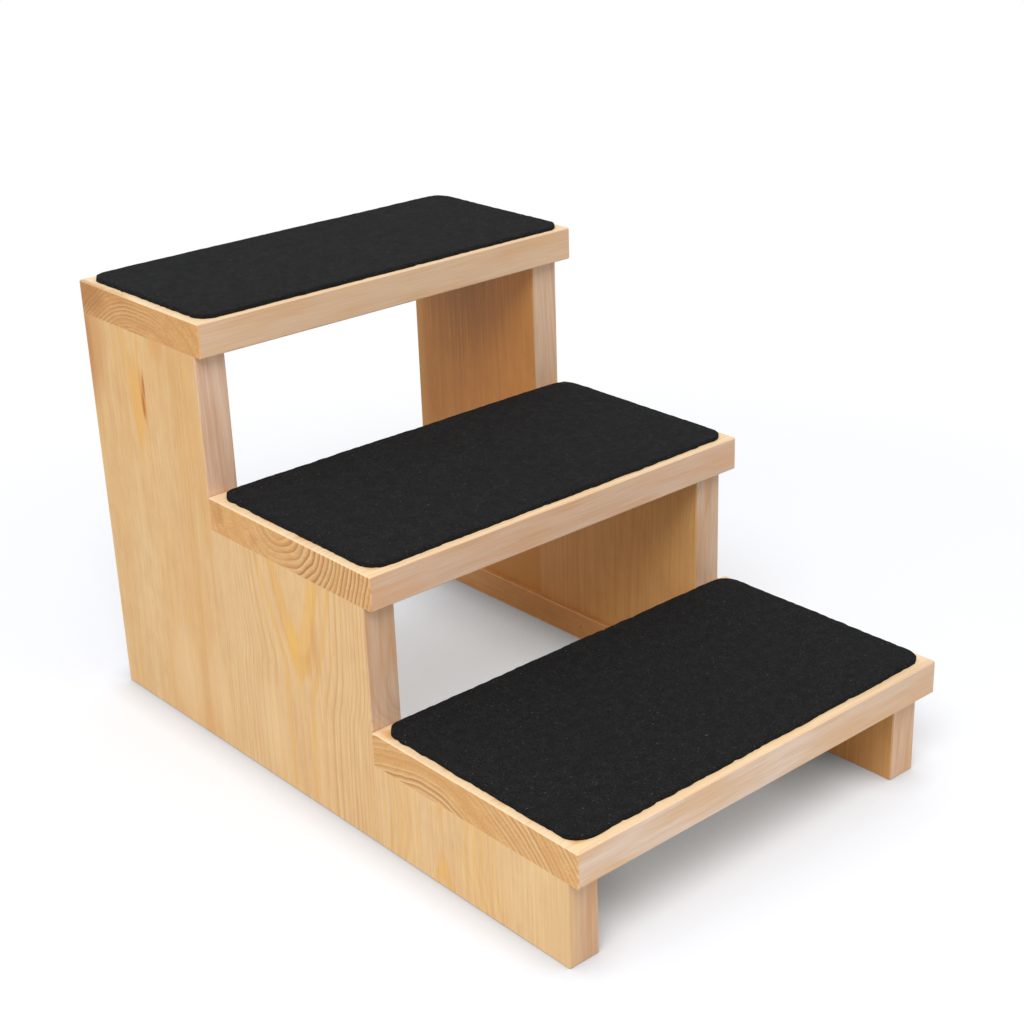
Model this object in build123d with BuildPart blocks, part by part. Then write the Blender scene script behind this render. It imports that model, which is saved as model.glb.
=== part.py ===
from build123d import *
import os

os.makedirs("parts", exist_ok=True)

# Steps: each rise is from the tread below, or the floor, to the tread's top
low_rise = 105.0
middle_rise = 140.0
top_rise = 155.0
low_run = 228.0
middle_run = 214.0
top_run = 182.0

# Boards and treads of planed pine
side_thick = 30.0
tread_thick = 30.0
tread_length = 412.0
tread_nose = 11.0
end_overhang = 9.0
edge_chamfer = 1.0

# Felt pads
pad_thick = 4.0
pad_corner_radius = 18.0
pad_edge_chamfer = 0.8
pad_left_margin = 10.0
pad_right_margin = 4.0
pad_front_margin = 9.0
pad_back_margin = 4.0

# Thin battens along the foot of each side's inner face
batten_height = 27.0
batten_thick = 6.0
batten_end_setback = 20.0
batten_edge_chamfer = 1.2
batten_start_share = 0.5

# Dowels in the glued joints between a side's boards
dowel_radius = 4.0
dowel_length = 40.0
dowel_chamfer = 1.0
dowel_clearance = 0.1
dowel_end_gap = 1.0
dowel_flutes = 16
dowel_height_shares = (0.25, 0.75)

# Countersunk screws down through the treads, hidden by the pads
screw_radius = 2.25
screw_length = 70.0
screw_tip = 6.0
screw_tip_radius = 0.3
screw_clearance = 0.25
screw_head_radius = 4.4
screw_head_rim = 0.4
screw_sink = 0.6
screw_fit = 0.05
screw_end_gap = 2.0
recess_length = 4.6
recess_width = 1.1
recess_depth = 1.8
screw_sides = 16
screw_run_shares = (0.2, 0.8)

# Panel pins that hold the battens
pin_radius = 0.8
pin_length = 18.0
pin_tip = 1.6
pin_tip_radius = 0.2
pin_head_radius = 1.6
pin_head_thick = 0.7
pin_fit = 0.05
pin_end_gap = 1.0
pin_sides = 8
pin_shares = (0.3, 0.7)

# How far a cutter runs past the face where it breaks out
cut_overrun = 1.0

# The origin is on the floor, under the middle of the stairs, which climb towards +Y
depth = tread_nose + low_run + middle_run + top_run
tread_left_x = -tread_length / 2
tread_right_x = tread_length / 2
side_middle_x = {
    "left": tread_left_x + side_thick / 2,
    "right": tread_right_x - end_overhang - side_thick / 2,
}
inward = {"left": 1, "right": -1}

step_names = ("low", "middle", "top")
board_names = ("front", "middle", "rear")
runs = (low_run, middle_run, top_run)
front_face_y = tread_nose - depth / 2
board_front_y = (front_face_y, front_face_y + low_run, front_face_y + low_run + middle_run)
back_face_y = depth / 2
tread_top_z = (low_rise, low_rise + middle_rise, low_rise + middle_rise + top_rise)
board_height = tuple(top - tread_thick for top in tread_top_z)
last = len(runs) - 1

# The battens lap all three boards, from inside the front one to short of the back
batten_front_y = front_face_y + low_run * batten_start_share
batten_back_y = back_face_y - batten_end_setback
batten_length = batten_back_y - batten_front_y


def dowel_heights(joint):
    """Heights of the dowels in the joint behind board number joint."""
    return [board_height[joint] * share for share in dowel_height_shares]


def screw_rows(step):
    """Places along Y of the screws of one tread."""
    return [board_front_y[step] + runs[step] * share for share in screw_run_shares]


def pin_rows():
    """Places along Y of a batten's pins, two in each board that it laps."""
    rows = []
    for start, run in zip(board_front_y, runs):
        lap_start = max(start, batten_front_y)
        lap_end = min(start + run, batten_back_y)
        rows += [lap_start + (lap_end - lap_start) * share for share in pin_shares]
    return rows


def inner_face_x(side):
    """The side's face that looks at the other side."""
    return side_middle_x[side] + inward[side] * side_thick / 2


def turned(levels, sides):
    """A small many-sided turned piece through levels of (radius, height), lowest first."""
    with BuildPart() as piece:
        for (radius, height), (next_radius, next_height) in zip(levels, levels[1:]):
            if next_height > height:
                with BuildSketch(Plane.XY.offset(height)):
                    RegularPolygon(radius, sides)
                with BuildSketch(Plane.XY.offset(next_height)):
                    RegularPolygon(next_radius, sides)
                loft(ruled=True)
    return piece.part


def batten_spots(side):
    """Planes on the batten's shown face, one at each pin, that look out of it."""
    shown_x = inner_face_x(side) + inward[side] * batten_thick
    return [Plane((shown_x, y, batten_height / 2), z_dir=(inward[side], 0, 0)) for y in pin_rows()]


# The hardware and the cuts that take it, each with its axis on Z and its top at the origin
screw_shoulder = screw_head_rim + screw_head_radius - screw_radius
screw = turned(
    [
        (screw_tip_radius, -screw_length),
        (screw_radius, screw_tip - screw_length),
        (screw_radius, -screw_shoulder),
        (screw_head_radius, -screw_head_rim),
        (screw_head_radius - screw_head_rim, 0),
    ],
    screw_sides,
)
with BuildPart() as recessed_screw:
    add(screw)
    with BuildSketch():
        Rectangle(recess_length, recess_width)
        Rectangle(recess_width, recess_length)
    extrude(amount=-recess_depth, mode=Mode.SUBTRACT)

clear_radius = screw_radius + screw_clearance
mouth_radius = screw_head_radius + screw_sink
screw_hole = turned(
    [
        (clear_radius, -tread_thick - cut_overrun),
        (clear_radius, clear_radius - mouth_radius),
        (mouth_radius, 0),
    ],
    screw_sides,
)

pin = turned(
    [
        (pin_tip_radius, -pin_length),
        (pin_radius, pin_tip - pin_length),
        (pin_radius, -pin_head_thick),
        (pin_head_radius, -pin_head_thick),
        (pin_head_radius, 0),
    ],
    pin_sides,
)
pin_hole = turned(
    [
        (pin_radius + pin_fit, -pin_length - pin_end_gap),
        (pin_radius + pin_fit, -pin_head_thick),
        (pin_head_radius + pin_fit, -pin_head_thick),
        (pin_head_radius + pin_fit, 0),
    ],
    pin_sides,
)

dowel = turned(
    [
        (dowel_radius - dowel_chamfer, -dowel_length),
        (dowel_radius, dowel_chamfer - dowel_length),
        (dowel_radius, -dowel_chamfer),
        (dowel_radius - dowel_chamfer, 0),
    ],
    dowel_flutes,
)


# Side boards: upright planks, three to a side, as wide as the steps they carry.
# Edges that show are eased; those that are glued or lie under a tread stay square.
for side, middle_x in side_middle_x.items():
    for number, board_name in enumerate(board_names):
        run = runs[number]
        height = board_height[number]
        middle_y = board_front_y[number] + run / 2
        covered_height = tread_top_z[number - 1] if number > 0 else 0

        with BuildPart() as board:
            if covered_height > 0:
                with BuildSketch() as covered_section:
                    with Locations((middle_x, middle_y)):
                        Rectangle(side_thick, run)
                    if number == last:
                        chamfer(covered_section.vertices().group_by(Axis.Y)[-1], length=edge_chamfer)
                extrude(amount=covered_height)
            with BuildSketch(Plane.XY.offset(covered_height)) as open_section:
                with Locations((middle_x, middle_y)):
                    Rectangle(side_thick, run)
                eased_corners = open_section.vertices().group_by(Axis.Y)[0]
                if number == last:
                    eased_corners = open_section.vertices()
                chamfer(eased_corners, length=edge_chamfer)
            extrude(amount=height - covered_height)

            foot_edges = board.edges().group_by(Axis.Z)[0]
            if number > 0:
                foot_edges = foot_edges - foot_edges.group_by(Axis.Y)[0]
            if number < last:
                foot_edges = foot_edges - foot_edges.group_by(Axis.Y)[-1]
            chamfer(foot_edges, length=edge_chamfer)

            # Blind dowel holes, in line with the next board's
            dowel_depth = dowel_length / 2 + dowel_end_gap
            if number > 0:
                joint_y = board_front_y[number]
                heights = dowel_heights(number - 1)
                with Locations(*[Plane((middle_x, joint_y, z), z_dir=(0, -1, 0)) for z in heights]):
                    Hole(radius=dowel_radius + dowel_clearance, depth=dowel_depth)
            if number < last:
                joint_y = board_front_y[number + 1]
                heights = dowel_heights(number)
                with Locations(*[Plane((middle_x, joint_y, z), z_dir=(0, 1, 0)) for z in heights]):
                    Hole(radius=dowel_radius + dowel_clearance, depth=dowel_depth)

            # Pilot holes in the top edge, under the tread's screws
            with BuildSketch(Plane.XY.offset(height)):
                with Locations(*[(middle_x, y) for y in screw_rows(number)]):
                    RegularPolygon(screw_radius + screw_fit, screw_sides)
            extrude(amount=tread_thick - screw_sink - screw_length - screw_end_gap, mode=Mode.SUBTRACT)

            # Pin holes behind the batten
            with Locations(*batten_spots(side)):
                add(pin_hole, mode=Mode.SUBTRACT)

        node = f"{side}_{board_name}_board"
        board.part.label = node
        export_step(board.part, f"parts/{node}.step")


# Treads: one wide plank each, nosed past the boards and butted to the next riser board
for number, step_name in enumerate(step_names):
    front_y = board_front_y[number] - tread_nose
    tread_depth = runs[number] + tread_nose
    underside_z = board_height[number]

    with BuildPart() as tread:
        with BuildSketch(Plane.XY.offset(underside_z)):
            with Locations(((tread_left_x + tread_right_x) / 2, front_y + tread_depth / 2)):
                Rectangle(tread_length, tread_depth)
        extrude(amount=tread_thick)

        top_edges = tread.edges().group_by(Axis.Z)[-1]
        front_corners = tread.edges().filter_by(Axis.Z).group_by(Axis.Y)[0]
        nose_edge = tread.edges().group_by(Axis.Z)[0].filter_by(Axis.X).sort_by(Axis.Y)[0]
        overhang_edge = tread.edges().group_by(Axis.Z)[0].filter_by(Axis.Y).sort_by(Axis.X)[-1]
        eased_edges = top_edges + front_corners + [nose_edge, overhang_edge]
        if number == last:
            eased_edges = eased_edges + tread.edges().filter_by(Axis.Z).group_by(Axis.Y)[-1]
        chamfer(eased_edges, length=edge_chamfer)

        with Locations(*[
            (x, y, tread_top_z[number]) for x in side_middle_x.values() for y in screw_rows(number)
        ]):
            add(screw_hole, mode=Mode.SUBTRACT)

    node = f"{step_name}_tread"
    tread.part.label = node
    export_step(tread.part, f"parts/{node}.step")


# Pads: one piece of needle felt on each tread
for number, step_name in enumerate(step_names):
    pad_left_x = tread_left_x + pad_left_margin
    pad_right_x = tread_right_x - pad_right_margin
    pad_front_y = board_front_y[number] - tread_nose + pad_front_margin
    pad_back_y = board_front_y[number] + runs[number] - pad_back_margin

    with BuildPart() as pad:
        with BuildSketch(Plane.XY.offset(tread_top_z[number])):
            with Locations(((pad_left_x + pad_right_x) / 2, (pad_front_y + pad_back_y) / 2)):
                RectangleRounded(pad_right_x - pad_left_x, pad_back_y - pad_front_y, pad_corner_radius)
        extrude(amount=pad_thick)
        chamfer(pad.edges().group_by(Axis.Z)[-1], length=pad_edge_chamfer)

    node = f"{step_name}_pad"
    pad.part.label = node
    export_step(pad.part, f"parts/{node}.step")


# Battens
for side in side_middle_x:
    face_x = inner_face_x(side)

    with BuildPart() as batten:
        with BuildSketch(Plane.YZ.offset(face_x)):
            with Locations(((batten_front_y + batten_back_y) / 2, batten_height / 2)):
                Rectangle(batten_length, batten_height)
        extrude(amount=inward[side] * batten_thick)
        shown_face = batten.faces().sort_by(Axis.X)[-1 if inward[side] > 0 else 0]
        shown_edges = shown_face.edges() - shown_face.edges().group_by(Axis.Z)[0]
        chamfer(shown_edges, length=batten_edge_chamfer)
        with Locations(*batten_spots(side)):
            add(pin_hole, mode=Mode.SUBTRACT)

    node = f"{side}_floor_batten"
    batten.part.label = node
    export_step(batten.part, f"parts/{node}.step")


# Dowels, half of each in either board of its joint
for side, middle_x in side_middle_x.items():
    with BuildPart() as edge_dowels:
        for joint in range(last):
            end_y = board_front_y[joint + 1] + dowel_length / 2
            with Locations(*[
                Plane((middle_x, end_y, z), z_dir=(0, 1, 0)) for z in dowel_heights(joint)
            ]):
                add(dowel)

    node = f"{side}_edge_dowels"
    edge_dowels.part.label = node
    export_step(edge_dowels.part, f"parts/{node}.step")


# Screws, heads seated in their countersinks
for number, step_name in enumerate(step_names):
    head_z = tread_top_z[number] - screw_sink + screw_head_rim
    with BuildPart() as tread_screws:
        with Locations(*[
            (x, y, head_z) for x in side_middle_x.values() for y in screw_rows(number)
        ]):
            add(recessed_screw.part)

    node = f"{step_name}_tread_screws"
    tread_screws.part.label = node
    export_step(tread_screws.part, f"parts/{node}.step")


# Panel pins, heads flush with the battens
for side in side_middle_x:
    with BuildPart() as batten_pins:
        with Locations(*batten_spots(side)):
            add(pin)

    node = f"{side}_batten_pins"
    batten_pins.part.label = node
    export_step(batten_pins.part, f"parts/{node}.step")
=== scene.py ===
# Wooden pet stairs with black felt pads: materials, pads, floor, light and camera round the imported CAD
import math

import bpy
import numpy as np
from mathutils import Matrix, Vector


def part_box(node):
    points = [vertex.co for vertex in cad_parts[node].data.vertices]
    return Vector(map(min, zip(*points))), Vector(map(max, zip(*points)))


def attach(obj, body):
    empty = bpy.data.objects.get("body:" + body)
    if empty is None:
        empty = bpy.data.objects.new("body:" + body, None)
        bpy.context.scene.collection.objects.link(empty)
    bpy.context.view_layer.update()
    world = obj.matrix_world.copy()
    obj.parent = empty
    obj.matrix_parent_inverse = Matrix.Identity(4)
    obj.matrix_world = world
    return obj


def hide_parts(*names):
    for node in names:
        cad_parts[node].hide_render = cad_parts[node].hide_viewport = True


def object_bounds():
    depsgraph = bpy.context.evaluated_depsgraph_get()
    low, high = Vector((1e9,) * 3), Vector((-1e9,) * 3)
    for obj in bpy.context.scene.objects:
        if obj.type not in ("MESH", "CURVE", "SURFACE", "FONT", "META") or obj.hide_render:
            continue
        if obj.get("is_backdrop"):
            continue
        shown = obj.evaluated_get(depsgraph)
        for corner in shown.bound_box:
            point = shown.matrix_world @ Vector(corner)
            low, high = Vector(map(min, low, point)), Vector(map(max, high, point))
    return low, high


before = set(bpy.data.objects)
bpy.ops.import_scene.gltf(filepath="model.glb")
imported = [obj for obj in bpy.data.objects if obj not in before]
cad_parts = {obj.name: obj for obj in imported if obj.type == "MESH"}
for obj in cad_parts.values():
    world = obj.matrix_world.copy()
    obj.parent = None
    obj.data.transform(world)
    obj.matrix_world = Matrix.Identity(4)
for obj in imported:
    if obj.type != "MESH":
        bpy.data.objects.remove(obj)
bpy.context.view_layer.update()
print("frame loaded:", len(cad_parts), "CAD nodes")

alongX, alongY, alongZ = 0, 1, 2
mmPerMetre = 1000.0


# Camera: the photograph's viewing angle, image 1024 x 1024
cameraView = {
    "lens": 64.55,  # mm
    "sensor": 36.0,  # mm
    "azimuth": -40.54,  # degrees, towards the left side
    "elevation": 23.29,
    "roll": -2.02,
    "place": (-0.94499, -1.12347, 0.84030),  # metres
    "nearest": 0.05,  # metres: what is nearer or farther isn't drawn
    "farthest": 50.0,
}


def makeCamera(view):
    # back points from the stairs to the camera; the roll turns the picture about it
    a, e, r = (math.radians(view[k]) for k in ("azimuth", "elevation", "roll"))
    back = Vector((math.sin(a) * math.cos(e), -math.cos(a) * math.cos(e), math.sin(e)))
    right = (-back).cross(Vector((0, 0, 1))).normalized()
    up = back.cross(right)
    camX = math.cos(r) * right + math.sin(r) * up
    camY = -math.sin(r) * right + math.cos(r) * up
    data = bpy.data.cameras.new("camera")
    data.lens, data.sensor_width = view["lens"], view["sensor"]
    data.clip_start, data.clip_end = view["nearest"], view["farthest"]
    camera = bpy.data.objects.new("camera", data)
    turn = Matrix((camX, camY, back)).transposed().to_4x4()
    camera.matrix_world = Matrix.Translation(Vector(view["place"])) @ turn
    bpy.context.scene.collection.objects.link(camera)
    bpy.context.scene.camera = camera


makeCamera(cameraView)
print("camera placed")


def linear(hexColour):
    # sRGB hex to linear: c / 12.92 below 0.04045, else ((c + 0.055) / 1.055) ^ 2.4
    c = np.array([int(hexColour[i:i + 2], 16) for i in (0, 2, 4)]) / 255
    c = np.where(c <= 0.04045, c / 12.92, ((c + 0.055) / 1.055) ** 2.4)
    return (*map(float, c), 1.0)


def addNode(tree, kind, inputs=None, stops=None, points=None, **settings):
    # inputs: a socket's name or number with its value or another node's output, or a tuple of numbers with
    # as many values. Stops fill a ramp, and points a curve.
    node = tree.nodes.new("ShaderNode" + kind)
    for name, value in settings.items():
        setattr(node, name, value)
    for key, value in (inputs or {}).items():
        for socket, given in zip(key, value) if isinstance(key, tuple) else ((key, value),):
            if isinstance(given, bpy.types.NodeSocket):
                tree.links.new(given, node.inputs[socket])
            else:
                node.inputs[socket].default_value = given
    if stops:
        ends = node.color_ramp.elements
        for place, _ in stops[1:-1]:
            ends.new(place)
        for element, (place, value) in zip(ends, stops):
            element.position = place
            element.color = value if hasattr(value, "__len__") else (value, value, value, 1)
    if points:
        curve = node.mapping.curves[0]
        for x, y in points[1:-1]:
            curve.points.new(x, y)
        for point, place in zip(curve.points, points):
            point.location = place
        node.mapping.update()
    return node


def newMaterial(name):
    material = bpy.data.materials.new(name)
    material.use_nodes = True
    tree = material.node_tree
    tree.nodes.clear()
    output = tree.nodes.new("ShaderNodeOutputMaterial")
    return material, tree, output


# Pine: planed boards under clear satin lacquer, which gives a soft sheen and a warm, deep tone. The grain
# is solid: rings round the board's own pith, cut by its faces, so a face's lines meet the rings on its end.
pineFinish = {
    "roughness": 0.46,
    "sheenSwing": 0.06,  # roughness that a dense ring line has less, and the soft wood between has more
    "endRoughness": 0.18,  # more on the ends, which soak the lacquer up
    "ior": 1.5,
    "fibreTone": 0.045,  # share of the colour by which a fibre is lighter or darker
    "bumpHeight": 0.00006,  # metres
    "lineBump": 0.5,  # height of a ring line, where a fibre's is 1
    "dashes": 0.25,  # how strong the short resin dashes are
    "endBlotches": 0.75,  # how strong the uneven tone of the ends is
    "endPores": 0.45,
    "fineRings": 2.7,  # faint lines in each ring
    "ringGroup": 0.2,  # these times this is the number of warm and pale ring groups on the ends
    "stainAndLightRagged": 0.9,  # how far the fibres fray the edges of stains and painted patches, as a share of their size
    "stainAndLightSpan": (1.45, 0.75),  # frayed distance where such a patch starts, and where it is full
    "edgeTurn": (0.5, 0.9),  # how far a face turns before it looks like an edge, an end or an inner face
    "endTurn": (0.45, 0.75),
    "insideTurn": (0.3, 0.8),
}
fibre = {"step": 1.1, "length": 60.0}  # mm: real fibres are finer, drawn this coarse so that they show

# Noises of the wood: size in mm across the grain (the ends' blotches: along the board's thickness), the
# share of a length that the noise sees along the grain (there: across), its detail and roughness, and its
# values at which the pattern starts and is full
woodPatterns = {
    "fade": {"size": 38.0, "drawn": 0.08, "detail": 2.0, "rough": 0.5, "span": (0.3, 0.62)},
    "fibre": {"size": fibre["step"], "drawn": fibre["step"] / fibre["length"], "detail": 3.0, "rough": 0.5,
              "span": (0.5, 0.7)},
    "dash": {"size": 1.25, "drawn": 0.07, "detail": 1.0, "rough": 0.5, "span": (0.66, 0.74)},
    "tone": {"size": 30.0, "drawn": 0.08, "detail": 3.0, "rough": 0.6, "span": (0.36, 0.66)},
    "cloud": {"size": 19.0, "drawn": 0.65, "detail": 4.0, "rough": 0.62, "span": (0.42, 0.66)},
    "streak": {"size": 2.4, "drawn": 0.03, "detail": 3.0, "rough": 0.6, "span": (0.42, 0.68)},
    "patch": {"size": 11.0, "drawn": 0.12, "detail": 2.0, "rough": 0.5, "span": (0.42, 0.64)},
    "blotch": {"size": 7.0, "drawn": 0.45, "detail": 4.0, "rough": 0.62, "span": (0.38, 0.62)},
    "pore": {"size": 10 / 7, "drawn": 1.0, "detail": 3.0, "rough": 0.7, "span": (0.42, 0.66)},
}
waveDrawn = 0.08
ringSpans = {"fine": (0.42, 0.68), "group": (0.42, 0.62), "band": (0.25, 0.7), "level": (0.3, 0.7)}
bandFaintest = 0.55

# What a board has unless its own values, further down, say otherwise
plainWood = {
    "waves": ((70.0, 5.0), (14.0, 0.9)),  # (size, reach) in mm of the waves that bend the rings
    "squeeze": 1.0,  # rings wider across the board than through it, where it is over 1
    # one ring outwards, as (place, amount): its dark line, and its pale wood on the ends
    "profile": ((0.0, 0.12), (0.1, 0.0), (0.45, 0.05), (0.78, 0.6), (0.9, 1.0), (0.96, 0.9), (1.0, 0.12)),
    "pale": ((0.0, 0.7), (0.12, 1.0), (0.5, 0.1), (0.7, 0.0), (1.0, 0.7)),
    "faintest": 0.25,  # strength of the faintest ring, where the strongest has 1
    "fade": 0.35,  # strength of the rings where a patch fades them
    "fineLines": 0.35,
    "lineStrength": 0.4,
    "endPaleness": 0.6,
    "endStrength": 0.8,
    "stainsAndPaintedLight": (),  # soft ellipsoids: resin stains and uneven tone, and on some boards painted shade and painted light: (centre, half sizes, colour, amount), in mm
}


def readTable(tree, value, table):
    # the amount that a table of (place, amount) gives at this value, straight between its places
    first, last = table[0][0], table[-1][0]
    at = addNode(tree, "MapRange", {0: value, 1: first, 2: last}).outputs[0]
    stops = [((place - first) / (last - first), amount) for place, amount in table]
    return addNode(tree, "ValToRGB", {0: at}, stops=stops).outputs[0]


def tinted(tree, colour, *layers):
    # each layer, (mask, amount, sRGB hex), moves the colour towards its own by mask * amount
    for mask, amount, tint in layers:
        share = addNode(tree, "Math", {0: mask, 1: amount}, operation="MULTIPLY").outputs[0]
        colour = addNode(tree, "Mix", {0: share, 6: colour, 7: linear(tint)}, data_type="RGBA").outputs[2]
    return colour


def woodPlaces(tree, wood, place):
    # the place in mm as three numbers, the place as two noises bend it, and each noise with its mask
    along, across, _ = wood["axes"]
    mm = addNode(tree, "VectorMath", {0: place, "Scale": mmPerMetre}, operation="SCALE").outputs[0]
    shift = [wood["seed"] * step for step in (131.0, 57.0, 89.0)]  # mm, so that no two boards are alike
    moved = addNode(tree, "VectorMath", {0: mm, 1: shift}, operation="ADD").outputs[0]
    noises, masks = {}, {}
    for pattern, p in woodPatterns.items():
        scale = [1.0, 1.0, 1.0]
        scale[across if pattern == "blotch" else along] = p["drawn"]
        at = addNode(tree, "VectorMath", {0: moved, 1: scale}, operation="MULTIPLY").outputs[0]
        size = wood.get(pattern + "Step", p["size"])
        noises[pattern] = addNode(tree, "TexNoise", {
            "Vector": at, "Scale": 1 / size, "Detail": p["detail"], "Roughness": p["rough"]}).outputs["Fac"]
        masks[pattern] = addNode(tree, "MapRange", {0: noises[pattern], (1, 2): p["span"]}).outputs[0]
    scale = [1.0, 1.0, 1.0]
    scale[along] = waveDrawn
    at = addNode(tree, "VectorMath", {0: moved, 1: scale}, operation="MULTIPLY").outputs[0]
    bent = mm
    for size, reach in wood["waves"]:
        wave = addNode(tree, "TexNoise", {"Vector": at, "Scale": 1 / size, "Detail": 1.0}).outputs["Color"]
        wave = addNode(tree, "VectorMath", {0: wave, 1: (0.5, 0.5, 0.5)}, operation="SUBTRACT").outputs[0]
        wave = addNode(tree, "VectorMath", {0: wave, "Scale": 2 * reach}, operation="SCALE").outputs[0]
        bent = addNode(tree, "VectorMath", {0: bent, 1: wave}, operation="ADD").outputs[0]
    return addNode(tree, "SeparateXYZ", {0: mm}).outputs, bent, noises, masks


def pithGaps(tree, wood, plain, bent):
    # mm from the pith to a place, across the board and through it; two curves along the grain are the pith
    along, across, depth = wood["axes"]
    spots = wood["pith"]
    start, end = spots[0][0], spots[-1][0]
    t = addNode(tree, "MapRange", {0: plain[along], 1: start, 2: end}).outputs[0]
    parts = addNode(tree, "SeparateXYZ", {0: bent}).outputs
    gaps = []
    for axis, column, factor in ((across, 1, 1.0), (depth, 2, wood["squeeze"])):
        values = [spot[column] for spot in spots]
        low, high = min(values), max(values) + 0.001  # a straight pith still needs a range
        points = [((s[0] - start) / (end - start), (v - low) / (high - low)) for s, v in zip(spots, values)]
        curve = addNode(tree, "FloatCurve", {"Value": t}, points=points).outputs[0]
        pith = addNode(tree, "MapRange", {0: curve, 3: low, 4: high}).outputs[0]
        gap = addNode(tree, "Math", {0: parts[axis], 1: pith}, operation="SUBTRACT").outputs[0]
        gaps.append(addNode(tree, "Math", {0: gap, 1: factor}, operation="MULTIPLY").outputs[0])
    return gaps


def pine(name, wood):
    # r = length of (across gap, squeeze * depth gap) from the pith, in mm.
    # Ring number q = r * (rate + swell * r); a ring is its fractional part, light and then dark outwards.
    wood = {**plainWood, **wood}
    material, tree, output = newMaterial(name)
    along, across, depth = wood["axes"]
    coords = addNode(tree, "TexCoord").outputs
    plain, bent, noises, masks = woodPlaces(tree, wood, coords["Object"])
    gaps = pithGaps(tree, wood, plain, bent)
    flat = addNode(tree, "CombineXYZ", {0: gaps[0], 1: gaps[1]}).outputs[0]
    r = addNode(tree, "VectorMath", {0: flat}, operation="LENGTH").outputs["Value"]
    rate, swell = wood["rings"]
    pace = addNode(tree, "Math", {0: r, 1: swell, 2: rate}, operation="MULTIPLY_ADD").outputs[0]
    q = addNode(tree, "Math", {0: r, 1: pace}, operation="MULTIPLY").outputs[0]

    # each ring's dark line and its pale wood, some rings stronger than others
    share = addNode(tree, "Math", {0: q}, operation="FRACT").outputs[0]
    number = addNode(tree, "Math", {0: q}, operation="FLOOR").outputs[0]
    chance = addNode(tree, "TexWhiteNoise", {"W": number}, noise_dimensions="1D").outputs["Value"]
    weight = addNode(tree, "MapRange", {0: chance, 3: wood["faintest"], 4: 1.0}).outputs[0]
    ring = addNode(tree, "ValToRGB", {0: share}, stops=wood["profile"]).outputs[0]
    pale = addNode(tree, "ValToRGB", {0: share}, stops=wood["pale"]).outputs[0]
    limits = [weight]
    if "shown" in wood:  # how much of each ring shows: (radius in mm, amount)
        limits.append(readTable(tree, r, wood["shown"]))
    for limit in limits:
        ring = addNode(tree, "Math", {0: ring, 1: limit}, operation="MULTIPLY").outputs[0]
        pale = addNode(tree, "Math", {0: pale, 1: limit}, operation="MULTIPLY").outputs[0]
    fineAt = addNode(tree, "Math", {0: q, 1: pineFinish["fineRings"]}, operation="MULTIPLY").outputs[0]
    fine = addNode(tree, "TexNoise", {"W": fineAt, "Scale": 1.0, "Detail": 2.0},
                   noise_dimensions="1D").outputs["Fac"]
    fine = addNode(tree, "MapRange", {0: fine, (1, 2): ringSpans["fine"]}).outputs[0]
    fine = addNode(tree, "Math", {0: fine, 1: wood["fineLines"]}, operation="MULTIPLY").outputs[0]
    lines = addNode(tree, "Math", {0: ring, 1: fine}, operation="MAXIMUM").outputs[0]
    if "clear" in wood:  # how clear the rings are across the board: (place, amount)
        clear = readTable(tree, plain[across], wood["clear"])
        lines = addNode(tree, "Math", {0: lines, 1: clear}, operation="MULTIPLY").outputs[0]
        pale = addNode(tree, "Math", {0: pale, 1: clear}, operation="MULTIPLY").outputs[0]
    fade = addNode(tree, "MapRange", {0: masks["fade"], 3: wood["fade"], 4: 1.0}).outputs[0]
    faded = addNode(tree, "Math", {0: lines, 1: fade}, operation="MULTIPLY").outputs[0]
    pale = addNode(tree, "Math", {0: pale, 1: fade}, operation="MULTIPLY").outputs[0]

    # broad faces: warm patches, resin-rich rings, clouds of uneven planing, ring lines, streaks and dashes
    colour = tinted(tree, linear(wood["early"]), (masks["tone"], wood["warmth"], wood["warm"]))
    if "bands" in wood:  # (radius in mm, amount)
        radius = r
        if "arch" in wood:  # they come to a point: |depth gap| + length of (slope * across gap, tip) - tip
            slope, tip = wood["arch"]
            beside = addNode(tree, "Math", {0: gaps[0], 1: slope}, operation="MULTIPLY").outputs[0]
            beside = addNode(tree, "CombineXYZ", {0: beside, 1: tip}).outputs[0]
            beside = addNode(tree, "VectorMath", {0: beside}, operation="LENGTH").outputs["Value"]
            deep = addNode(tree, "Math", {0: gaps[1]}, operation="ABSOLUTE").outputs[0]
            radius = addNode(tree, "Math", {0: deep, 1: beside}, operation="ADD").outputs[0]
            radius = addNode(tree, "Math", {0: radius, 1: tip}, operation="SUBTRACT").outputs[0]
        broken = addNode(tree, "MapRange", {
            0: noises["fade"], (1, 2): ringSpans["band"], 3: bandFaintest, 4: 1.0}).outputs[0]
        colour = tinted(tree, colour, (readTable(tree, radius, wood["bands"]), broken, wood["band"]))
    if "mottle" in wood:
        colour = tinted(tree, colour, (masks["cloud"], wood["mottle"][1], wood["mottle"][0]))
    colour = tinted(tree, colour, (faded, wood["lineStrength"], wood["late"]),
                    (masks["streak"], wood["streaks"], wood["late"]),
                    (masks["dash"], pineFinish["dashes"], wood["late"]))

    # long edges are cut across the rings; painted light makes them pinker and cooler, for the fronts' cooler
    # light
    normal = addNode(tree, "SeparateXYZ", {0: coords["Normal"]}).outputs
    if "edge" in wood:
        side = addNode(tree, "Math", {0: normal[alongY]}, operation="ABSOLUTE").outputs[0]
        side = addNode(tree, "MapRange", {0: side, (1, 2): pineFinish["edgeTurn"]}).outputs[0]
        edge = tinted(tree, linear(wood["edge"]), (masks["patch"], 1.0, wood["edgeWarm"]),
                      (masks["streak"], wood["edgeStreaks"], wood["edgeLate"]),
                      (masks["fibre"], wood["edgeHairs"], wood["edgeLate"]),
                      (lines, wood["edgeRings"], wood["edgeLate"]))
        colour = addNode(tree, "Mix", {0: side, 6: colour, 7: edge}, data_type="RGBA").outputs[2]

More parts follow.
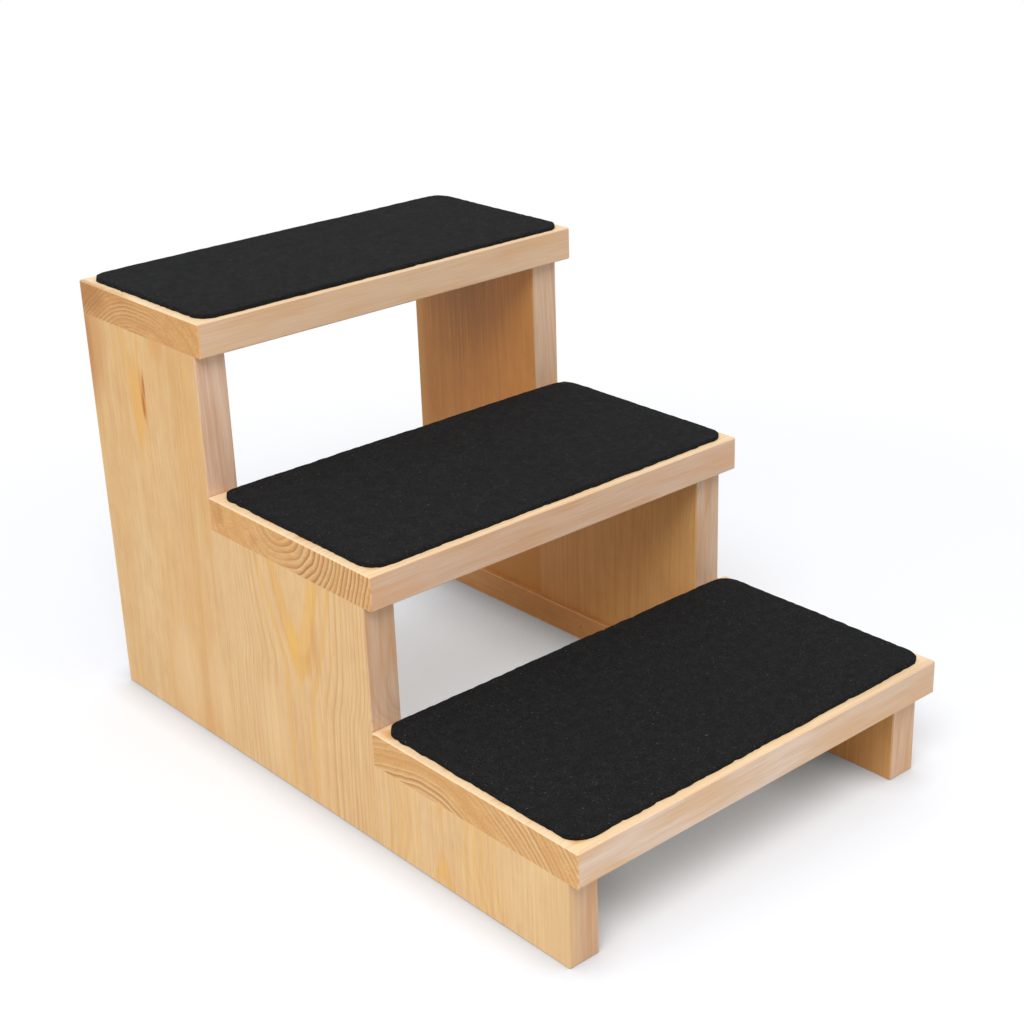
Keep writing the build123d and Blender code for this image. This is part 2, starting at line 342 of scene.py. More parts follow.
    # end grain: darker and redder, with strong rings; an eased edge beside a broad face keeps its colour
    facing = addNode(tree, "Math", {0: normal[along]}, operation="ABSOLUTE").outputs[0]
    flatwise = addNode(tree, "Math", {0: normal[depth]}, operation="ABSOLUTE").outputs[0]
    facing = addNode(tree, "Math", {0: facing, 1: flatwise}, operation="SUBTRACT").outputs[0]
    onEnd = addNode(tree, "MapRange", {0: facing, (1, 2): pineFinish["endTurn"]}).outputs[0]
    group = addNode(tree, "TexNoise", {
        "W": fineAt, "Scale": pineFinish["ringGroup"], "Detail": 1.0}, noise_dimensions="1D").outputs["Fac"]
    group = addNode(tree, "MapRange", {0: group, (1, 2): ringSpans["group"]}).outputs[0]
    uneven = addNode(tree, "Math", {0: masks["blotch"], 1: group}, operation="MAXIMUM").outputs[0]
    end = tinted(tree, linear(wood["endEarly"]), (uneven, pineFinish["endBlotches"], wood["endWarm"]),
                 (masks["pore"], pineFinish["endPores"], wood["endPore"]),
                 (pale, wood["endPaleness"], wood["endPale"]), (faded, wood["endStrength"], wood["endLate"]))
    colour = addNode(tree, "Mix", {0: onEnd, 6: colour, 7: end}, data_type="RGBA").outputs[2]

    if "inside" in wood:  # painted shade: the broad face towards the other side board, shaded by the treads and that board, is multiplied browner
        turned = addNode(tree, "Math", {0: normal[depth], 1: wood["inside"]},
                         operation="MULTIPLY").outputs[0]
        turned = addNode(tree, "MapRange", {0: turned, (1, 2): pineFinish["insideTurn"]}).outputs[0]
        colour = addNode(tree, "Mix", {0: turned, 6: colour, 7: linear(wood["insideShadeTint"])},
                         data_type="RGBA", blend_type="MULTIPLY").outputs[2]

    # resin stains and uneven tone, and on some boards painted shade and painted light: each moves the colour
    # towards its own
    for centre, half, stainAndLightHex, amount in wood["stainsAndPaintedLight"]:
        away = addNode(tree, "VectorMath", {0: bent, 1: centre}, operation="SUBTRACT").outputs[0]
        away = addNode(tree, "VectorMath", {0: away, 1: half}, operation="DIVIDE").outputs[0]
        away = addNode(tree, "VectorMath", {0: away}, operation="LENGTH").outputs["Value"]
        frayed = addNode(tree, "Math", {0: noises["fibre"], 1: pineFinish["stainAndLightRagged"], 2: away},
                         operation="MULTIPLY_ADD").outputs[0]
        stainAndLightMask = addNode(tree, "MapRange", {0: frayed, (1, 2): pineFinish["stainAndLightSpan"]},
                         interpolation_type="SMOOTHSTEP").outputs[0]
        colour = tinted(tree, colour, (stainAndLightMask, amount, stainAndLightHex))

    # fibres lighten and darken the whole a little, and with the ring lines they give the sheen its relief
    tone, swing, rough = (pineFinish[k] for k in ("fibreTone", "sheenSwing", "roughness"))
    level = addNode(tree, "MapRange", {
        0: noises["fibre"], (1, 2): ringSpans["level"], (3, 4): (1 - tone, 1 + tone)}).outputs[0]
    colour = addNode(tree, "VectorMath", {0: colour, "Scale": level}, operation="SCALE").outputs[0]
    gloss = addNode(tree, "MapRange", {0: lines, (3, 4): (rough + swing, rough - swing)}).outputs[0]
    gloss = addNode(tree, "Math", {0: onEnd, 1: pineFinish["endRoughness"], 2: gloss},
                    operation="MULTIPLY_ADD").outputs[0]
    height = addNode(tree, "Math", {0: lines, 1: pineFinish["lineBump"], 2: noises["fibre"]},
                     operation="MULTIPLY_ADD").outputs[0]
    bump = addNode(tree, "Bump", {"Strength": 1.0, "Distance": pineFinish["bumpHeight"], "Height": height})
    shader = addNode(tree, "BsdfPrincipled", {
        "Base Color": colour, "Roughness": gloss, "IOR": pineFinish["ior"], "Normal": bump.outputs[0]})
    tree.links.new(shader.outputs[0], output.inputs[0])
    return material


# the axes of each kind of board: along its grain, across its width, through its thickness
treadAxes = (alongX, alongY, alongZ)
sideAxes = (alongZ, alongY, alongX)
battenAxes = (alongY, alongZ, alongX)
# edge tones in these tables are painted light: pinker and cooler, for the fronts' cooler light, over their
# own grain
treadTones = {
    "axes": treadAxes, "early": "F5DAB3", "warm": "EFCB9A", "late": "DBA66E", "warmth": 0.5, "streaks": 0.3,
    "streakStep": 1.6, "fineLines": 0.15,
    "edgeWarm": "E0BC98", "edgeLate": "C4946C", "edgeStreaks": 0.2, "edgeHairs": 0.5, "edgeRings": 0.2,
    "endEarly": "E6B676", "endWarm": "D8A060", "endPore": "B47A40", "endLate": "8E5222", "endPale": "F0CE9A",
}
sideTones = {
    "axes": sideAxes, "early": "EAC792", "warm": "E5BC80", "late": "C6863E", "band": "EBB966", "warmth": 0.4,
    "waves": ((60.0, 1.6), (14.0, 0.7)), "streaks": 0.22, "arch": (0.62, 4.0), "mottle": ("DFB084", 0.35),
    "edge": "E0BFA2", "edgeWarm": "DAAE86", "edgeLate": "B9855C",
    "edgeStreaks": 0.25, "edgeHairs": 0.2, "edgeRings": 0.38,
    "profile": ((0.0, 0.0), (0.3, 0.05), (0.55, 0.45), (0.7, 1.0), (0.84, 0.5), (1.0, 0.0)),
    "endEarly": "E0B478", "endWarm": "D2A05E", "endPore": "BE8648", "endLate": "945A26", "endPale": "E8C08A",
}
leftTones = {**sideTones, "inside": 1.0, "insideShadeTint": "F8E1C3"}  # +1: its inner face looks along +x; the inside tint there is painted shade
# the right boards' inner faces look along -x; their inside tints, set board by board below, are painted
# shade
rightTones = {**sideTones, "inside": -1.0, "mottle": ("D9AC7C", 0.3), "rings": (-0.02, 0.0015)}
battenTones = {  # ripped thin, so their long edges are like their faces
    **{k: v for k, v in sideTones.items() if not k.startswith("edge")},
    "axes": battenAxes, "early": "E4B070", "warm": "DA9F5C", "late": "AC6C32", "warmth": 0.7,
    "mottle": ("C98E54", 0.3), "rings": (0.3, 0.0), "lineStrength": 0.35,
}

# pith: (place along the grain, across, depth), mm in the row frame. Left boards' outer face is at x -206.
woods = {
    "top_tread": {
        **treadTones, "seed": 1, "pith": ((-206, 221, 280), (206, 217, 268)),
        "rings": (0.28, 0.0), "endStrength": 1.0, "faintest": 0.15, "fade": 0.4,
        "endEarly": "E1AE6C", "endWarm": "D0965A", "edge": "DDBC9A", "edgeWarm": "DBB28A",
        "clear": ((124, 0.05), (175, 0.15), (205, 0.6), (250, 1.0), (318, 1.0)),
        "stainsAndPaintedLight": (((-206, 305, 390), (5, 40, 26), "A86C34", 0.6),
                   ((-206, 262, 399), (5, 44, 10), "C58A48", 0.5)),
    },
    "middle_tread": {
        **treadTones, "seed": 2, "pith": ((-206, 36, 253), (206, 42, 241)), "squeeze": 1.2,
        "rings": (0.1, 0.0005), "endStrength": 1.0, "faintest": 0.6, "fade": 0.75,
        "edge": "DFBEA2", "edgeWarm": "DEB18C", "waves": ((40.0, 4.5), (14.0, 0.9)),
        "clear": ((-90, 1.0), (-4, 1.0), (12, 0.7), (30, 0.4), (60, 0.25), (90, 0.05), (136, 0.02)),
        "stainsAndPaintedLight": (((-206, 122, 236), (5, 10, 16), "B0743A", 0.35),
                   ((-206, 70, 226), (5, 9, 9), "B0743A", 0.3),
                   # orange patches on the top's left strip, along the pad's edge
                   ((-197, 58, 245), (6, 14, 14), "E0A058", 0.5),
                   ((-198, 8, 245), (6, 11, 14), "DE9E56", 0.4),
                   ((-192, -76, 245), (12, 8, 14), "E2A048", 0.5)),
    },
    "low_tread": {
        **treadTones, "edge": "E6CFBA", "seed": 3,
        "pith": ((-206, -143.5, -44), (206, -139, -60)),
        "rings": (0.2, 0.0), "endStrength": 0.95, "faintest": 0.2, "fade": 0.5,
        "endPaleness": 1.3,
        "shown": ((0, 0.2), (117, 1), (134, 1), (139, 0.25), (152, 0.3), (160, 1), (260, 1)),
        "clear": ((-318, 0.65), (-238, 0.7), (-214, 0.3), (-190, 0.5), (-160, 1.0), (-78, 0.9)),
        # orange patches on the top's left strip, along the pad's edge
        "stainsAndPaintedLight": (((-197, -92, 105), (7, 16, 14), "E0A058", 0.7),
                   ((-198, -160, 105), (6, 13, 14), "DE9E56", 0.5),
                   ((-198, -225, 105), (6, 12, 14), "E0A058", 0.45),
                   ((-190, -303, 105), (13, 9, 14), "E2A048", 0.7),
                   ((180, -318, 90), (150, 14, 40), "D5AE89", 0.45)),
    },
    "left_rear_board": {
        **leftTones, "seed": 4, "mottle": ("DAA870", 0.4), "warm": "E2B06A",
        "edge": "E4C4AA", "edgeWarm": "DDB595", "edgeLate": "B97F58", "edgeRings": 0.4,
        "pith": ((0, 240, -157), (150, 240, -162), (262, 240, -166), (325, 240, -169.5), (372, 240, -172.1)),
        "rings": (0.04, 0.0023), "lineStrength": 0.36, "fade": 0.15, "warmth": 0.7,
        "shown": ((0, 0.1), (50, 0.1), (62, 1), (260, 1)),
        "bands": ((0, 0), (35.5, 0), (37.5, 0.8), (39.4, 1), (40.4, 0), (46.2, 0), (47, 0.4), (47.6, 0),
                  (200, 0)),
        "stainsAndPaintedLight": (((-206, 237, 306), (14, 16, 58), "E9B058", 0.65),
                   ((-206, 227, 311), (14, 6.5, 32), "DB9442", 0.7),
                   ((-206, 225.4, 322), (14, 2.4, 15), "B96E1E", 0.95),
                   ((-206, 228.3, 303), (14, 2.8, 18), "B56A1C", 0.95),
                   ((-206, 205, 55), (14, 34, 76), "F2CF9C", 0.5),
                   ((-206, 150, 50), (14, 28, 66), "F0CB98", 0.45),
                   ((-206, 309, 340), (14, 34, 62), "D0975A", 0.75),
                   ((-206, 318, 345), (14, 15, 70), "BE7C40", 0.7),
                   ((-206, 174, 372), (14, 13, 135), "D69C4E", 0.5),
                   ((-206, 198, 376), (14, 20, 34), "DDA055", 0.6)),
    },
    "left_middle_board": {
        **leftTones, "seed": 5, "edge": "DCBB9E", "edgeWarm": "D6AA82",
        "pith": ((0, 23.5, -159.2), (50, 23, -160), (90, 21.5, -160.8), (110, 19, -161.6),
                 (122, 16.5, -162.9), (136, 16, -166), (150, 17, -169.2), (169, 18, -173),
                 (190, 19, -176.8), (215, 19.5, -181.5)),
        "rings": (-0.06, 0.00155), "lineStrength": 0.8, "fade": 0.65, "faintest": 0.45,
        "profile": ((0.0, 0.0), (0.4, 0.04), (0.6, 0.4), (0.71, 1.0), (0.8, 0.45), (0.92, 0.0), (1.0, 0.0)),
        "clear": ((-79, 1.0), (-30, 1.0), (0, 0.75), (136, 0.7)),
        "shown": ((0, 0.1), (47, 0.15), (56, 1), (260, 1)),
        "bands": ((0, 0), (33.6, 0), (35.4, 0.9), (41, 1), (43.8, 1), (44.8, 0.1), (50, 0), (52, 0.75),
                  (54, 0.75), (56, 0), (61, 0), (62.4, 0.6), (64, 0), (200, 0)),
        "stainsAndPaintedLight": (((-206, -6, 156), (14, 6, 34), "DC9A40", 0.5),
                   ((-206, 4, 134), (14, 6, 20), "DC9A40", 0.45),
                   ((-206, 24, 148), (14, 12, 34), "EDB94E", 0.5),
                   ((-206, 66, 50), (14, 22, 66), "F0CF9C", 0.5)),
    },
    "left_front_board": {
        **leftTones, "seed": 6, "edge": "D8B898", "edgeWarm": "D2A57D",
        "pith": ((0, -163, -171.9), (20, -162.5, -168.6), (37, -162, -166), (45, -162, -165.4),
                 (52, -162, -166), (75, -161, -167.3)),
        "rings": (-0.05, 0.0013), "fade": 0.4, "faintest": 0.4,
        "clear": ((-307, 0.4), (-250, 0.45), (-205, 0.9), (-79, 1.0)),
        "stainsAndPaintedLight": (((-206, -306, 38), (14, 36, 90), "E0BA84", 0.6),),
        "shown": ((0, 0.05), (52, 0.1), (62, 1), (260, 1)),
        "bands": ((0, 0), (34.8, 0), (36, 0.9), (39.2, 1), (40.2, 0), (53.6, 0), (55.4, 0.8), (57.4, 0),
                  (59.6, 0), (61.6, 1), (63.6, 0), (65, 0), (66.8, 1), (68.4, 0), (71.6, 0), (73.4, 0.8),
                  (75.4, 0), (200, 0)),
    },
    # the inside tints of the right boards are painted shade on their inner faces, darkest on the rear board
    "right_rear_board": {
        **rightTones, "insideShadeTint": "E2BB7E", "seed": 7,
        "pith": ((0, 215, 130), (200, 218, 128), (372, 222, 124)),
        # painted shade: the upper part of the board darker and browner
        "stainsAndPaintedLight": (((167, 250, 380), (14, 95, 140), "A27138", 0.85),
                   # a paler, warmer lower part, which takes back most of the painted inside shade there
                   ((167, 200, 60), (14, 200, 150), "DCA056", 0.85),
                   # painted highlight: a paler band along the rear edge
                   ((167, 318, 300), (14, 18, 400), "DAA359", 0.8)),
    },
    "right_middle_board": {
        **rightTones, "insideShadeTint": "FAE8CA", "seed": 8,
        "pith": ((0, 40, 128), (100, 38, 129), (217, 30, 135)),
    },
    "right_front_board": {
        **rightTones, "insideShadeTint": "E8D2B5", "seed": 9,
        "pith": ((0, -200, 128), (40, -201, 130), (77, -203, 133)),
    },
    "left_floor_batten": {
        **battenTones, "seed": 10, "pith": ((-193, -18, -190), (298, -22, -184)),
    },
    "right_floor_batten": {
        **battenTones, "seed": 11, "pith": ((-193, -16, 150), (298, -22, 158)),
    },
}

for name, wood in woods.items():
    material = pine("lacqueredPine_" + name, wood)
    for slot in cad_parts[name].material_slots:
        slot.material = material
print("pine on", len(woods), "boards")


# Small hardware, all but hidden: beech dowels, zinc-plated screws and yellow zinc-plated panel pins. Each
# has two tones, a noise in steps per metre along x, y and z, and a roughness at both ends of that noise.
hardware = {
    "edge_dowels": {  # turned beech: pale, dense, fine straight grain and no sheen
        "material": "turnedBeech", "tones": ("D9B68C", "B98D61"), "steps": (900, 60, 900), "detail": 3.0,
        "metallic": 0.0, "rough": (0.7, 0.7),
    },
    "tread_screws": {  # zinc plating, clear passivated: a dull bluish grey metal with a fine cloudy bloom
        "material": "zincPlatedSteel", "tones": ("C9CAC8", "AEB0B0"), "steps": (700, 700, 700),
        "detail": 3.0, "metallic": 1.0, "rough": (0.28, 0.45),
    },
    "batten_pins": {  # zinc plating, yellow passivated and gone dull: a golden brown close to the wood's
        "material": "yellowZincPlatedSteel", "tones": ("D09F60", "BA8A50"), "steps": (900, 900, 900),
        "detail": 2.0, "metallic": 0.3, "rough": (0.55, 0.55),
    },
}
hardwareSpan = (0.3, 0.7)  # noise values where one tone ends and the other begins


def hardwareFinish(finish):
    # tone and roughness follow one noise, straight between their two values
    material, tree, output = newMaterial(finish["material"])
    coords = addNode(tree, "TexCoord").outputs["Object"]
    at = addNode(tree, "Mapping", {0: coords, "Scale": finish["steps"]}).outputs[0]
    noise = addNode(tree, "TexNoise", {
        "Vector": at, "Scale": 1.0, "Detail": finish["detail"]}).outputs["Fac"]
    tones = [(place, linear(tone)) for place, tone in zip(hardwareSpan, finish["tones"])]
    colour = addNode(tree, "ValToRGB", {0: noise}, stops=tones).outputs[0]
    rough = addNode(tree, "MapRange", {0: noise, (1, 2): hardwareSpan, (3, 4): finish["rough"]}).outputs[0]
    shader = addNode(tree, "BsdfPrincipled", {
        "Base Color": colour, "Metallic": finish["metallic"], "Roughness": rough})
    tree.links.new(shader.outputs[0], output.inputs[0])
    return material


for ending, finish in hardware.items():
    material = hardwareFinish(finish)
    for name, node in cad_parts.items():
        if name.endswith(ending):
            for slot in node.material_slots:
                slot.material = material
print("hardware finished")


# Felt pads: black needle-punched felt, 4 mm, cut by hand with scissors and laid on each tread
padShape = {
    "step": 0.0022,  # metres between grid lines
    "cornerRadius": 0.018,
    # the rounded rim: inset, share of the height
    "rims": ((0, 0), (0, 0.3), (0.00012, 0.6), (0.00045, 0.82), (0.001, 0.94), (0.0019, 0.985), (0.0032, 1)),
    "handCut": 0.0011,  # how far the scissors strayed
    "strays": ((0.026, 0.2), (0.009, 0.35), (0.0045, 0.45)),  # in waves of this length, by this share of it
    "strayFrom": 0.45,  # share of the corner radius, from its centre, where the pull of the rim begins
    "strayEase": 1.5,  # and how softly it begins
    "notches": 16,
    "notchDepth": 0.0011,
    "notchWidths": (0.0016, 0.003),
    "shallowest": 0.4,  # share of the notch depth
    "lumps": 0.00016,  # height of the pile's small lumps
    "lumpWaves": ((0.0045, 0.6), (0.0024, 0.4)),
    "rise": 0.00025,  # slow waves of a pad that doesn't lie quite flat
    "riseWave": 0.055,
    "clear": 0.00003,  # between the pad and the tread
}
padCuts = {  # seed of the hand-cut edge, and metres that it runs past its solid, to the left and the front
    "low": (11, 0.0034, 0.0008),
    "middle": (12, 0.0026, 0.002),
    "top": (13, 0.0026, 0.0043),
}


def smoothNoise(x, y, cell, random):
    # random heights on a square lattice of the given cell, joined by the smooth curve 3t^2 - 2t^3 both ways
    u, v = (x - x.min()) / cell, (y - y.min()) / cell
    heights = random.uniform(-1, 1, (int(u.max()) + 3, int(v.max()) + 3))
    i, j = u.astype(int), v.astype(int)
    a, b = u - i, v - j
    a, b = a * a * (3 - 2 * a), b * b * (3 - 2 * b)
    return ((heights[i, j] * (1 - a) + heights[i + 1, j] * a) * (1 - b)
            + (heights[i, j + 1] * (1 - a) + heights[i + 1, j + 1] * a) * b)


def waves(x, y, table, random):
    # sum of smooth noises: (length of its waves, share)
    return sum(share * smoothNoise(x, y, cell, random) for cell, share in table)


def feltPad(name, low, high, shape, random):
    # A grid of the pad's rectangle. Its outer rows follow the rim profile (inset, share of the height).
    # In a corner (a, b) of a square becomes (a * sqrt(1 - b^2 / 2), b * sqrt(1 - a^2 / 2)) of a disc.
    rims, radius = np.array(shape["rims"]), shape["cornerRadius"]
    lines, levels = [], []
    for k in (0, 1):
        margin = rims[-1, 0] + shape["step"]
        inner = high[k] - low[k] - 2 * margin
        middle = np.linspace(0, inner, max(2, round(inner / shape["step"])) + 1) + margin
        lines.append(np.concatenate([rims[:, 0], middle, (high[k] - low[k]) - rims[::-1, 0]]) + low[k])
        n = len(rims)
        levels.append(np.concatenate([np.arange(n), np.full(len(middle), n - 1), np.arange(n)[::-1]]))
    x, y = np.meshgrid(*lines, indexing="ij")
    level = np.minimum(*np.meshgrid(*levels, indexing="ij"))
    share = rims[level, 1]
    centre, half = (np.array(low[:2]) + np.array(high[:2])) / 2, (np.array(high[:2]) - np.array(low[:2])) / 2
    dx, dy = x - centre[0], y - centre[1]
    a = np.clip((np.abs(dx) - (half[0] - radius)) / radius, 0, 1)
    b = np.clip((np.abs(dy) - (half[1] - radius)) / radius, 0, 1)
    x = centre[0] + np.sign(dx) * (np.abs(dx) - a * radius + radius * a * np.sqrt(1 - b * b / 2))
    y = centre[1] + np.sign(dy) * (np.abs(dy) - b * radius + radius * b * np.sqrt(1 - a * a / 2))

    # the hand-cut outline: the rim strays outwards and back along its length, with a few small notches
    core = [np.clip(p, low[k] + radius, high[k] - radius) for k, p in enumerate((x, y))]
    out = np.stack([x - core[0], y - core[1]], -1)
    reach = np.linalg.norm(out, axis=-1)
    out = out / np.maximum(reach, 1e-9)[..., None]
    pull = (reach / radius - shape["strayFrom"]) / (1 - shape["strayFrom"])
    near = np.clip(pull, 0, 1) ** shape["strayEase"]
    stray = shape["handCut"] * waves(x, y, shape["strays"], random)
    rimPlaces = np.argwhere(level == 0)
    for i, j in rimPlaces[random.choice(len(rimPlaces), shape["notches"], replace=False)]:
        far = np.hypot(x - x[i, j], y - y[i, j]) / random.uniform(*shape["notchWidths"])
        stray -= shape["notchDepth"] * random.uniform(shape["shallowest"], 1) * np.exp(-far ** 2)
    x, y = x + out[..., 0] * near * stray, y + out[..., 1] * near * stray

    # the top's unevenness fades out towards the rim, where nothing rises above the plain thickness
    thick = high[2] - low[2] - shape["clear"] - shape["rise"] - shape["lumps"]
    uneven = shape["lumps"] * waves(x, y, shape["lumpWaves"], random)
    uneven = uneven + shape["rise"] * smoothNoise(x, y, shape["riseWave"], random)
    top = thick * share + share ** 4 * uneven
    z = low[2] + shape["clear"] + np.where(share < 1, np.minimum(top, thick), top)

    rows, columns = x.shape
    points = np.stack([x, y, z], -1).reshape(-1, 3)
    corner = np.arange(rows * columns).reshape(rows, columns)
    quads = np.stack([corner[:-1, :-1], corner[1:, :-1], corner[1:, 1:], corner[:-1, 1:]], -1).reshape(-1, 4)
    rim = np.concatenate([corner[:, 0], corner[-1, 1:], corner[-2::-1, -1], corner[0, -2:0:-1]])
    mesh = bpy.data.meshes.new(name)
    mesh.from_pydata(points.tolist(), [], quads.tolist() + [rim[::-1].tolist()])
    mesh.validate()
    mesh.polygons.foreach_set("use_smooth", np.ones(len(mesh.polygons), bool))
    mesh.polygons[len(mesh.polygons) - 1].use_smooth = False
    mesh.update()
    pad = bpy.data.objects.new(name, mesh)
    bpy.context.scene.collection.objects.link(pad)
    return pad


# Needle-punched polyester felt, black: matt and deep, and its short tangled fibres show as fine grey flecks
feltFinish = {
    "ground": ("111111", "171717"),
    "fleck": "414243",
    "lint": "646668",
    "lintAmount": 0.65,
    "roughness": 0.95,
    "specular": 0.06,
    "sheen": {"Sheen Weight": 0.03, "Sheen Roughness": 0.5, "Sheen Tint": linear("B9BCC2")},
    "lays": (0.2, 1.3, 2.4),  # radians: the fibres lie three ways
    "laySteps": (0.45, 2.3, 2.3),  # per mm: fibres of 0.4 by 2 mm, coarser than real, so that they show
    "bends": 5.0,  # mm that they wander
    "bendSteps": 0.25,  # per mm
    "clumpSteps": 0.11,
    "lintSteps": 0.62,
    "pileSteps": 1.4,
    "pileHeight": 0.0003,  # metres
    "strandHeight": 0.6,  # where the pile's is 1
    "laySpan": (0.54, 0.74),  # noise values where a pattern starts and where it is full
    "clumpSpan": (0.35, 0.7),
    "clumpAmounts": (0.5, 0.85),  # how much of the flecks shows between the clumps and on them
    "lintSpan": (0.71, 0.78),
}


def felt(f):
    # each lay of fibres is a noise drawn out one way; at any place the strongest of them shows
    material, tree, output = newMaterial("blackNeedleFelt")
    coords = addNode(tree, "TexCoord").outputs["Object"]
    mm = addNode(tree, "VectorMath", {0: coords, "Scale": mmPerMetre}, operation="SCALE").outputs[0]
    bend = addNode(tree, "TexNoise", {"Vector": mm, "Scale": f["bendSteps"], "Detail": 2.0}).outputs["Color"]
    bend = addNode(tree, "VectorMath", {0: bend, "Scale": f["bends"]}, operation="SCALE").outputs[0]
    bent = addNode(tree, "VectorMath", {0: mm, 1: bend}, operation="ADD").outputs[0]
    strands = 0.0
    for angle in f["lays"]:
        at = addNode(tree, "Mapping", {
            0: bent, "Rotation": (0, 0, angle), "Scale": f["laySteps"]}).outputs[0]
        lay = addNode(tree, "TexNoise", {
            "Vector": at, "Scale": 1.0, "Detail": 2.0, "Roughness": 0.55}).outputs["Fac"]
        lay = addNode(tree, "MapRange", {0: lay, (1, 2): f["laySpan"]}).outputs[0]
        strands = addNode(tree, "Math", {0: strands, 1: lay}, operation="MAXIMUM").outputs[0]
    clump = addNode(tree, "TexNoise", {"Vector": mm, "Scale": f["clumpSteps"], "Detail": 3.0}).outputs["Fac"]
    shown = addNode(tree, "MapRange", {
        0: clump, (1, 2): f["clumpSpan"], (3, 4): f["clumpAmounts"]}).outputs[0]
    lint = addNode(tree, "TexNoise", {"Vector": bent, "Scale": f["lintSteps"], "Detail": 1.0}).outputs["Fac"]
    lint = addNode(tree, "MapRange", {0: lint, (1, 2): f["lintSpan"]}).outputs[0]
    colour = tinted(tree, linear(f["ground"][0]), (clump, 1.0, f["ground"][1]), (strands, shown, f["fleck"]),
                    (lint, f["lintAmount"], f["lint"]))
    pile = addNode(tree, "TexNoise", {
        "Vector": mm, "Scale": f["pileSteps"], "Detail": 4.0, "Roughness": 0.65}).outputs["Fac"]
    height = addNode(tree, "Math", {0: strands, 1: f["strandHeight"], 2: pile},
                     operation="MULTIPLY_ADD").outputs[0]
    bump = addNode(tree, "Bump", {"Strength": 1.0, "Distance": f["pileHeight"], "Height": height})
    shader = addNode(tree, "BsdfPrincipled", {
        "Base Color": colour, "Roughness": f["roughness"], "Specular IOR Level": f["specular"], **f["sheen"],
        "Normal": bump.outputs[0]})
    tree.links.new(shader.outputs[0], output.inputs[0])
    return material


feltMaterial = felt(feltFinish)
for step, (seed, pastLeft, pastFront) in padCuts.items():
    low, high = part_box(step + "_pad")
    low = (low[0] - pastLeft, low[1] - pastFront, low[2])
    pad = feltPad(step + "_felt_pad", low, high, padShape, np.random.default_rng(seed))
    pad.data.materials.append(feltMaterial)
    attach(pad, "root")
    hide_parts(step + "_pad")
    print(pad.name, len(pad.data.polygons), "faces")


# Floor, light and background: a bright studio with a white paper sweep
studio = {
    "floorColour": "DCDCDC",
    "underTint": "CBDBEA",  # seen by the camera under the stairs: cool, against the wood's warm reflection
    "openTint": "D9DCE2",
    "underCentre": (0.0, 0.03),  # metres: middle of the shaded floor between the feet
    "underInner": (0.185, 0.265),  # half width and half length where it is full
    "underOuter": (0.215, 0.34),  # and where it ends
    "floorSize": 12.0,  # metres
    "floorLift": (0.36, 0.24),  # painted light: white glow for the camera alone, under the stairs, where it lifts the shade, and on the open floor
    "whiteFrom": 0.55,  # metres from the middle: beyond it the floor turns to the background's white
    "whiteAt": 1.0,
    "contactReach": 0.034,  # metres that the painted contact shadow along the feet spreads
    "contactDark": 0.52,
    "deepReach": 0.1,  # metres that the painted deep shade between the feet spreads
    "deepDark": 1.0,
    "shadeSamples": 8,
    "skyLow": 0.5,  # strength at the horizon and overhead
    "skyHigh": 0.95,
    "keyPlace": (-1.5, -1.3, 2.5),
    "keyAim": (0, 0, 0.2),
    "keySize": 1.5,
    "keyPower": 46.0,
}


